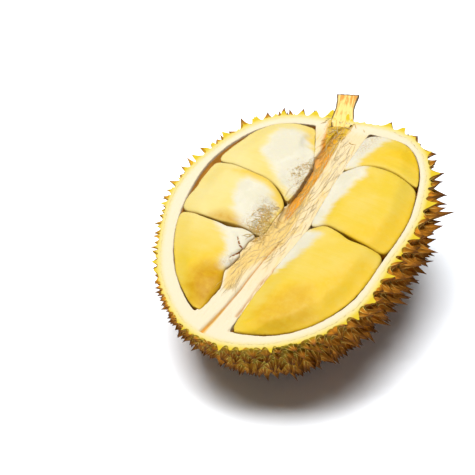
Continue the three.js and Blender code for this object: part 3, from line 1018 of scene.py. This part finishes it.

# Marks on each lobe, in millimetres on the cut face. pale: outlines of skin that stays whitish;
# fluff: outlines of grey-brown fibres in it; deep: outlines of golden flesh; green: outlines of olive
# painted shade, with its share saying how strong that is; dents: x, y, half width, half length and
# depth; cracks: paths of x, y and half width, carved and painted dark as shade.
LOBES = {
    "left_upper": {
        "pale": [((-40, 52), (-40, 66), (-37, 77), (-28, 82), (-18, 80), (-8, 70), (4, 60), (4, 36), (0, 24),
                  (-13, 33), (-26, 42), (-34, 47))],
        "fluff": [((-9, 38), (-10, 50), (-6, 58), (4, 62), (4, 34), (-3, 28))],
        "deep": [((-18, 84), (-9, 78), (-9, 72), (-16, 77))],
        "dents": [(-8, 44, 12, 16, 1.6), (-52, 56, 16, 12, 0.8), (-12, 76, 8, 10, 1.4)],
    },
    "left_middle": {
        "pale": [((-31, -3), (-36, 8), (-40, 18), (-36, 25), (-24, 24), (-14, 20), (-6, 14), (-3, 6),
                  (-6, -4), (-4, -14), (-18, -14))],
        "fluff": [((-18, 0), (-16, 12), (-9, 15), (-3, 10), (-2, -16), (-20, -14))],
        "deep": [((-50, 27), (-42, 33), (-20, 31), (-4, 22), (3, 8), (-3, 6), (-8, 17), (-22, 26),
                  (-40, 27))],
        "green": [((-44, -16), (-36, -10), (-20, -9), (-12, -17))],
        "dents": [(-10, 6, 10, 10, 1.2), (-44, 30, 22, 4, 0.6), (-58, 6, 18, 10, 0.7)],
    },
    "left_lower": {
        "pale": [((-40, -16), (-31, -22), (-23, -27), (-18, -34), (-18, -44), (-12, -50), (-4, -50),
                  (-2, -14))],
        "fluff": [((-14, -40), (-16, -48), (-8, -50), (-6, -38))],
        "deep": [((-30, -50), (-24, -40), (-14, -50), (-2, -60), (-4, -80), (-14, -90), (-30, -76),
                  (-34, -60))],
        "green": [((-30, -64), (-26, -54), (-14, -48), (-3, -56), (-2, -74), (-10, -84), (-20, -82),
                   (-27, -73))],
        "dents": [(-18, -52, 8, 12, 1.0), (-44, -50, 12, 18, 0.8)],
        "cracks": [((-16, -24, 0.5), (-12, -28.5, 0.8), (-7.5, -31, 0.9), (-9, -35, 0.7), (-12, -41, 0.4))],
    },
    "right_lower": {
        "pale": [((16, -4), (26, 3), (36, 0), (36, -8), (31, -18), (27, -30), (22, -38), (16, -40))],
        "deep": [((26, -82), (29, -60), (36, -48), (47, -42), (55, -32), (64, -22), (72, -6), (96, -6),
                  (96, -60), (60, -99), (26, -99))],
        "green": [((28, -78), (32, -60), (44, -46), (53, -43), (60, -54), (68, -62), (60, -74), (44, -86))],
        "olive_shade_share": 0.4,
        "dents": [(54, -56, 15, 20, 1.0), (72, -36, 12, 22, 0.6), (34, -78, 16, 9, 0.5)],
    },
    "right_middle": {
        "pale": [((18, 66), (38, 70), (41, 58), (38, 44), (34, 26), (31, 8), (20, 4))],
        "deep": [((52, 8), (68, 20), (78, 40), (80, 60), (98, 66), (98, 0), (52, 0))],
        "dents": [(60, 30, 18, 16, 0.6), (40, 60, 14, 6, 0.8)],
    },
    "right_upper": {
        "pale": [((14, 58), (14, 94), (30, 104), (44, 104), (38, 90), (33, 78), (30, 66))],
        "fluff": [((22, 78), (24, 92), (34, 100), (34, 90), (28, 78))],
        "deep": [((36, 70), (60, 80), (74, 76), (92, 60), (92, 100), (62, 106), (54, 92), (42, 84))],
        "dents": [(36, 86, 6, 12, 0.8), (60, 78, 20, 5, 0.6)],
    },
}


def marks_on(points, outlines, soft, offset):
    """The share of each point that a set of outlines covers, with streaky edges."""
    streaks = 2.2 * roughness_field(points, 4.5, (6, 1, 6), offset)
    frayed = points + np.stack([1.6 * streaks, 0.3 * streaks, 0 * streaks], 1)
    covered = [outline_mask(frayed, outline, soft) for outline in outlines]
    return np.max([np.zeros(len(points)), *covered], 0)


def blob(points, x, y, across, along):
    """1 at a place on the cut face, easing to 0 at its edge."""
    away = np.hypot((points[:, 0] - x) / across, (points[:, 1] - y) / along)
    return smooth(1.6 * (1 - away))


MARK_SOFTNESS = {"pale": 17, "fluff": 10, "deep": 14, "green": 13}  # how wide each fades
OLIVE_SHADE_SHARE = 0.85  # where a lobe doesn't say


def flesh_relief(piece, marks, offset):
    """Swellings, dents and fluff of a lobe, and the values that colour it."""
    points = points_of(piece)
    on_top = smooth((points[:, 2] + 14) / 12)
    pale, fluffy, deep, green = (
        marks_on(points, marks.get(mark, ()), soft, offset) for mark, soft in MARK_SOFTNESS.items()
    )
    dent = sum(depth * blob(points, x, y, across, along) for x, y, across, along, depth in marks["dents"])
    # Cracks: carved into the flesh, and kept as split for their painted shade
    crack_shade = sum((path_mark(points, path) for path in marks.get("cracks", ())), np.zeros(len(points)))
    # Painted shade: the steeper a lobe's flank, the more olive it is painted
    steep_flank_shade = smooth((0.8 - normals_of(piece)[:, 2]) / 0.6)
    field = lambda size, stretch=(1, 1, 1): roughness_field(points, size, stretch, offset)
    swell = 0.9 * field(34) + 0.35 * field(12)
    streaks = field(5.0, (9, 1, 3))
    fluff = field(3.2) + 0.7 * field(1.7)
    move = on_top * (swell + 0.1 * streaks - dent - 1.5 * crack_shade) + 0.3 * (1 - on_top) * swell
    move += on_top * (0.12 * pale + 0.6 * fluffy) * fluff
    points += normals_of(piece) * move[:, None]
    set_points(piece, points)
    # green: outlines of olive painted shade, at this lobe's strength
    green = green * marks.get("olive_shade_share", OLIVE_SHADE_SHARE)
    values = {"pale": pale, "fluffy": fluffy, "deep": deep, "green": green, "split": crack_shade, "steep_flank_shade": steep_flank_shade}
    set_values(piece, **{name: value * on_top for name, value in values.items()})


def flesh_material(settings):
    shade = Shade("durian_flesh")
    place = shade.fruit()
    across, along, out = shade.split(place)
    pale, fluffy = shade.number("pale"), shade.number("fluffy")
    deep, green = shade.number("deep"), shade.number("green")
    clouds = shade.noise(place, 24, 3, 0.5)
    streaks = shade.noise(place, 3.0, 4, 0.6, (11, 1, 4))
    mottle = shade.noise(place, 4.0, 4, 0.65)
    fluff = shade.noise(place, 1.3, 4, 0.75)

    # Painted light: paler towards the upper left of the cut face, as if lit from there; the noise adds paler
    # tone at random
    left = (1 - shade.ease(across, -50.0, 40.0)) * shade.ease(along, -60.0, 0.0)
    paleness_and_painted_light = 0.6 * left + 0.7 * (clouds - 0.5) + 0.35 * (streaks - 0.5) + 0.12
    gold = 0.9 * deep + 1.6 * (mottle - 0.5) * deep + 0.35 * (streaks - 0.5)
    # Painted shade: olive flesh inside the green outlines
    olive_shade = green + 1.2 * (mottle - 0.5) * green + 0.8 * (streaks - 0.5) * green
    whitish = shade.ease(pale + 0.3 * (mottle - 0.5) + 0.5 * (streaks - 0.5), 0.12, 0.8)
    grey = shade.ease(clouds + 0.3 * (mottle - 0.5), 0.42, 0.62) * whitish
    hairy = fluffy * shade.ease(fluff + 0.3 * (mottle - 0.5), 0.48, 0.66)
    # Painted shade: dark brown where the flesh sinks below the cut face into the seams, and along the cracks
    sunk_shade = 1 - shade.ease(out, -9.0, -1.5)
    split = shade.ease(shade.number("split"), 0.35, 0.75)
    tone = shade.coat(
        settings.yellow,
        # paler flesh at random, and painted light on the upper left
        (paleness_and_painted_light.clamp(), settings.light),
        (0.85 * gold.clamp(), settings.deep),
        # olive painted shade
        (0.95 * olive_shade.clamp(), settings.olive_shade),
        (0.94 * whitish, settings.pale),
        (0.35 * grey, settings.shadow),
        (0.75 * hairy, settings.fluff),
        # olive painted shade on the steep flanks
        (0.55 * shade.number("steep_flank_shade"), settings.olive_shade),
        # dark brown painted shade in the seams and cracks
        ((0.9 * sunk_shade + split).clamp(), settings.crack_shade),
    )
    relief = shade.bump((0.3 * whitish + fluffy) * fluff, 0.8, 0.6, shade.bump(streaks, 0.25, 0.3))
    relief = shade.bump(mottle, 0.25, 0.25, relief)
    roughness = 0.5 + 0.3 * whitish + 0.12 * (mottle - 0.5)
    return shade.finish(
        Base_Color=tone, Roughness=roughness, Normal=relief, Specular_IOR_Level=SHEEN,
        Subsurface_Weight=0.15, Subsurface_Radius=(0.005, 0.003, 0.0007), Subsurface_Scale=1.0,
    )


class DURIAN_OT_flesh(bpy.types.Operator):
    """Shape the six lobes of flesh, swell and dent them, and mark their pale and golden places"""

    bl_idname = "durian.flesh"
    bl_label = "Flesh lobes"

    def execute(self, context):
        settings = context.scene.durian_flesh
        material = flesh_material(settings)
        for offset, (name, marks) in enumerate(LOBES.items()):
            side, level = name.split("_")
            piece = piece_from(f"lobe_{name}", *lobe_form(side, LOBE_NAMES.index(level)))
            edit(piece)
            bpy.ops.mesh.remove_doubles(threshold=MERGE)
            bpy.ops.mesh.normals_make_consistent(inside=False)
            leave_edit()
            remesh(piece, settings.voxel / MM)
            flesh_relief(piece, marks, 11.0 * offset)
            activate(piece)
            bpy.ops.object.shade_smooth()
            dress(piece, material, "flesh", f"flesh_{name}")
        return {"FINISHED"}


# ---- Fibres of the core ------------------------------------------------------------------------

# Tufts of fibres on the core: a path along which they start (x, y, half width), how many there are,
# their length, their thickness, how far they turn from the path, and their tint from cream to orange.
TUFTS = (
    (((0, 106, 9), (1, 96, 10), (2, 82, 6)), 120, 7, 0.45, 0.7, (0.2, 0.8)),
    (((1, 90, 5), (4, 66, 3), (5, 50, 3.5), (3, 34, 4.5), (4, 18, 5)), 130, 17, 0.26, 0.1, (0.2, 0.75)),
    (((9, 40, 4), (9, 10, 6), (3, -14, 7), (-3, -40, 5), (0, -60, 3)), 120, 15, 0.22, 0.16, (0.05, 0.45)),
    (((15, 92, 6), (17, 62, 6), (18, 30, 5), (18, 0, 5), (12, -30, 5)), 130, 14, 0.22, 0.14, (0.0, 0.35)),
    (((-7, 8, 4), (-6, -5, 6), (-4, -18, 5)), 220, 7, 0.3, 0.7, (0.2, 0.8)),
    (((-12, 4, 4), (-7, 9, 4), (-4, 12, 3)), 70, 3.5, 0.24, 1.6, (0.1, 0.7)),
    (((-6, 42, 5), (-4, 52, 5), (0, 58, 3)), 90, 4, 0.24, 1.6, (0.1, 0.7)),
)
FIBRE_STEPS, FIBRE_SIDES = 9, 4


def surface_below(pieces):
    """A function that gives the height of the highest of some pieces at a place on the cut face."""
    down = -CUT_NORMAL
    trees = []
    for piece in pieces:
        mesh = piece.data
        trees.append(BVHTree.FromPolygons([v.co for v in mesh.vertices], [f.vertices for f in mesh.polygons]))

    def height(x, y):
        start = STANDING @ Vector((x, y, 40))
        hits = [tree.ray_cast(start, down)[0] for tree in trees]
        return max((40 - (hit - start).length / MM for hit in hits if hit), default=0)

    return height


def fibre_paths(height):
    """Centre lines of the fibres, which lie on the surface and curl a little."""
    random = np.random.default_rng(5)
    for path, count, length, thick, stray, tint in TUFTS:
        path = np.array(path, float)
        runs = np.linalg.norm(np.diff(path[:, :2], axis=0), axis=1)
        along = np.concatenate([[0], np.cumsum(runs)])
        place = lambda at: np.array([np.interp(at, along, path[:, k]) for k in range(3)])
        for _ in range(count):
            at = random.uniform(0, along[-1])
            x, y, half = place(at)
            ahead = min(at + 1, along[-1])
            dx, dy, _ = place(ahead) - place(ahead - 1)
            heading = math.atan2(dy, dx) + random.normal(0, stray)
            x += half * 0.6 * random.normal() * -dy
            y += half * 0.6 * random.normal() * dx
            step = length * random.uniform(0.5, 1.3) / FIBRE_STEPS
            curl = random.normal(0, 0.03 + 0.15 * stray)
            points = []
            for k in range(FIBRE_STEPS):
                lift = 0.5 * math.sin(math.pi * k / (FIBRE_STEPS - 1)) * random.uniform(0.6, 1.4)
                points.append((x, y, height(x, y) + lift - 0.1))
                heading += curl + random.normal(0, 0.06)
                x += step * math.cos(heading)
                y += step * math.sin(heading)
            yield np.array(points), thick * random.uniform(0.6, 1.3), random.uniform(*tint)


def fibre_mesh(height):
    """Thin tapered tubes along the fibres, with each one's tint."""
    points, faces, tints = [], [], []
    for line, thick, tint in fibre_paths(height):
        ahead = unit(np.gradient(line, axis=0))
        side = unit(np.cross(ahead, (0, 0, 1)))
        up = np.cross(side, ahead)
        first = len(points)
        for k, (centre, s, u) in enumerate(zip(line, side, up)):
            radius = 0.5 * thick * (1 - 0.75 * abs(2 * k / (FIBRE_STEPS - 1) - 1) ** 2)
            for turn in np.arange(FIBRE_SIDES) * 2 * math.pi / FIBRE_SIDES:
                points.append(centre + radius * (math.cos(turn) * s + math.sin(turn) * u))
        for k in range(FIBRE_STEPS - 1):
            for j in range(FIBRE_SIDES):
                a, b = first + k * FIBRE_SIDES + j, first + k * FIBRE_SIDES + (j + 1) % FIBRE_SIDES
                faces.append((a, b, b + FIBRE_SIDES, a + FIBRE_SIDES))
        faces.append(tuple(range(first + FIBRE_SIDES - 1, first - 1, -1)))
        faces.append(tuple(range(len(points) - FIBRE_SIDES, len(points))))
        tints += [tint] * (FIBRE_STEPS * FIBRE_SIDES)
    return np.array(points), faces, tints


def fibre_material(settings):
    shade = Shade("durian_fibres")
    tint = shade.number("tint")
    tanned, orange = shade.ease(tint, 0.0, 0.5), 0.8 * shade.ease(tint, 0.4, 1.0)
    tone = shade.coat(settings.cream, (tanned, settings.tan), (orange, settings.fibre))
    return shade.finish(Base_Color=tone, Roughness=0.65, Specular_IOR_Level=SHEEN)


class DURIAN_OT_fibres(bpy.types.Operator):
    """Lay loose fibres on the core, by the stalk and on the frayed ends of the left lobes"""

    bl_idname = "durian.fibres"
    bl_label = "Fibres"

    def execute(self, context):
        under = [o for o in context.scene.objects if o.name.startswith(("pith_wall", "lobe_left"))]
        points, faces, tints = fibre_mesh(surface_below(under))
        piece = piece_from("core_fibres", points, faces)
        set_values(piece, tint=tints)
        edit(piece)
        bpy.ops.mesh.normals_make_consistent(inside=False)
        leave_edit()
        bpy.ops.object.shade_smooth()
        dress(piece, fibre_material(context.scene.durian_pith), "pith")
        return {"FINISHED"}


# ---- Stalk -------------------------------------------------------------------------------------


def stalk_material(settings):
    shade = Shade("durian_stalk")
    place = shade.fruit()
    _, _, out = shade.split(place)
    side, along = shade.number("side"), shade.number("along")
    grain = shade.noise(shade.vector(side, along, out), 1.6, 4, 0.6, (1, 12, 1))
    clouds = shade.noise(place, 6, 3, 0.5)
    lined = shade.ease(grain + 0.3 * (clouds - 0.5) + 0.12 * shade.ease(along, 12.0, 34.0), 0.5, 0.68)
    by_edge = 1 - shade.ease(shade.number("edge") + 0.8 * (clouds - 0.5), 0.4, 1.6)
    wood = shade.coat(settings.wood, (lined, settings.grain), (by_edge, settings.bark))
    bark = shade.blend(0.5 * clouds, settings.bark, settings.grain)
    tone = shade.blend(shade.ease(out, -1.3, -0.5), bark, wood)
    relief = shade.bump(grain, 0.4, 0.6)
    return shade.finish(Base_Color=tone, Roughness=0.65 + 0.2 * clouds, Normal=relief)


class DURIAN_OT_stalk(bpy.types.Operator):
    """Roughen the stub of the stalk along its grain"""

    bl_idname = "durian.stalk"
    bl_label = "Stalk"

    def execute(self, context):
        piece = copy_of_solid("stalk", "stalk_stub")
        remesh(piece, 0.5)
        points = points_of(piece)
        lean = np.array([-math.sin(STALK_LEAN), math.cos(STALK_LEAN)])
        along = (points[:, :2] - STALK_FOOT[:2]) @ lean
        side = (points[:, :2] - STALK_FOOT[:2]) @ np.array([lean[1], -lean[0]])
        half = curve_through(STALK_PROFILE)(along)
        edge = np.minimum(half - np.abs(side), STALK_PROFILE[-1][0] - along)
        set_values(piece, side=side, along=along, edge=edge)
        grained = np.stack([side, along, points[:, 2]], 1)
        move = 0.45 * roughness_field(grained, 2.6, (1, 7, 1)) + 0.3 * roughness_field(grained, 5.0)
        points += normals_of(piece) * move[:, None]
        set_points(piece, points)
        activate(piece)
        bpy.ops.object.shade_smooth()
        dress(piece, stalk_material(context.scene.durian_stalk), "stalk", "stalk")
        return {"FINISHED"}


# ---- Stage -------------------------------------------------------------------------------------


class DURIAN_OT_stage(bpy.types.Operator):
    """Set the floor, the lamps and the camera"""

    bl_idname = "durian.stage"
    bl_label = "Stage"

    def add_lamp(self, name, place, turn, size, power):
        bpy.ops.object.light_add(type="AREA", location=place, rotation=turn)
        lamp = bpy.context.active_object
        lamp.name = name
        lamp.visible_camera = False
        lamp.data.shape = "RECTANGLE"
        lamp.data.size, lamp.data.size_y = size
        lamp.data.energy = power

    def execute(self, context):
        settings = context.scene.durian_stage
        deselect()
        bpy.ops.mesh.primitive_plane_add(size=6, location=(0, 0, 0))
        floor = context.active_object
        floor.name = "floor"
        shade = Shade("stage_floor")
        floor.data.materials.append(shade.finish(Base_Color=(*settings.floor, 1.0), Roughness=0.9))

        world = bpy.data.worlds.new("studio")
        context.scene.world = world
        world.use_nodes = True
        world.node_tree.nodes["Background"].inputs["Color"].default_value = (0.9, 0.95, 1, 1)
        world.node_tree.nodes["Background"].inputs["Strength"].default_value = settings.sky

        turn = (0, 0, settings.camera_turn[2])
        self.add_lamp("overhead_lamp", settings.lamp_place, turn, settings.lamp_size, settings.lamp_power)
        turn = (settings.fill_tilt, 0, 0)
        self.add_lamp("fill_lamp", settings.fill_place, turn, settings.fill_size, settings.fill_power)

        bpy.ops.object.camera_add(location=settings.camera_place, rotation=settings.camera_turn)
        camera = context.active_object
        camera.data.lens = settings.lens
        context.scene.camera = camera
        context.scene.view_settings.view_transform = "Standard"
        return {"FINISHED"}


# ---- Add-on ------------------------------------------------------------------------------------


class DURIAN_PT_panel(bpy.types.Panel):
    bl_label = "Half durian"
    bl_space_type = "VIEW_3D"
    bl_region_type = "UI"
    bl_category = "Durian"

    def draw(self, context):
        for operator, settings in OPERATORS.items():
            box = self.layout.box()
            box.operator(operator.bl_idname)
            if settings:
                group = getattr(context.scene, settings)
                for name in SETTINGS[settings].__annotations__:
                    box.prop(group, name)


OPERATORS = {  # and the settings that each shows
    DURIAN_OT_stage: "durian_stage",
    DURIAN_OT_rind: "durian_rind",
    DURIAN_OT_pith: "durian_pith",
    DURIAN_OT_flesh: "durian_flesh",
    DURIAN_OT_fibres: None,
    DURIAN_OT_stalk: "durian_stalk",
}
SETTINGS = {
    "durian_stage": StageSettings,
    "durian_rind": RindSettings,
    "durian_pith": PithSettings,
    "durian_flesh": FleshSettings,
    "durian_stalk": StalkSettings,
}


CLASSES = (*SETTINGS.values(), *OPERATORS, DURIAN_PT_panel)


def register():
    for kind in CLASSES:
        bpy.utils.register_class(kind)
    for name, group in SETTINGS.items():
        setattr(bpy.types.Scene, name, PointerProperty(type=group))


def unregister():
    for name in SETTINGS:
        delattr(bpy.types.Scene, name)
    for kind in reversed(CLASSES):
        bpy.utils.unregister_class(kind)


def main():
    register()
    bpy.ops.durian.stage()
    bpy.ops.durian.rind()
    bpy.ops.durian.pith()
    bpy.ops.durian.flesh()
    bpy.ops.durian.fibres()
    bpy.ops.durian.stalk()


if __name__ == "__main__":
    main()
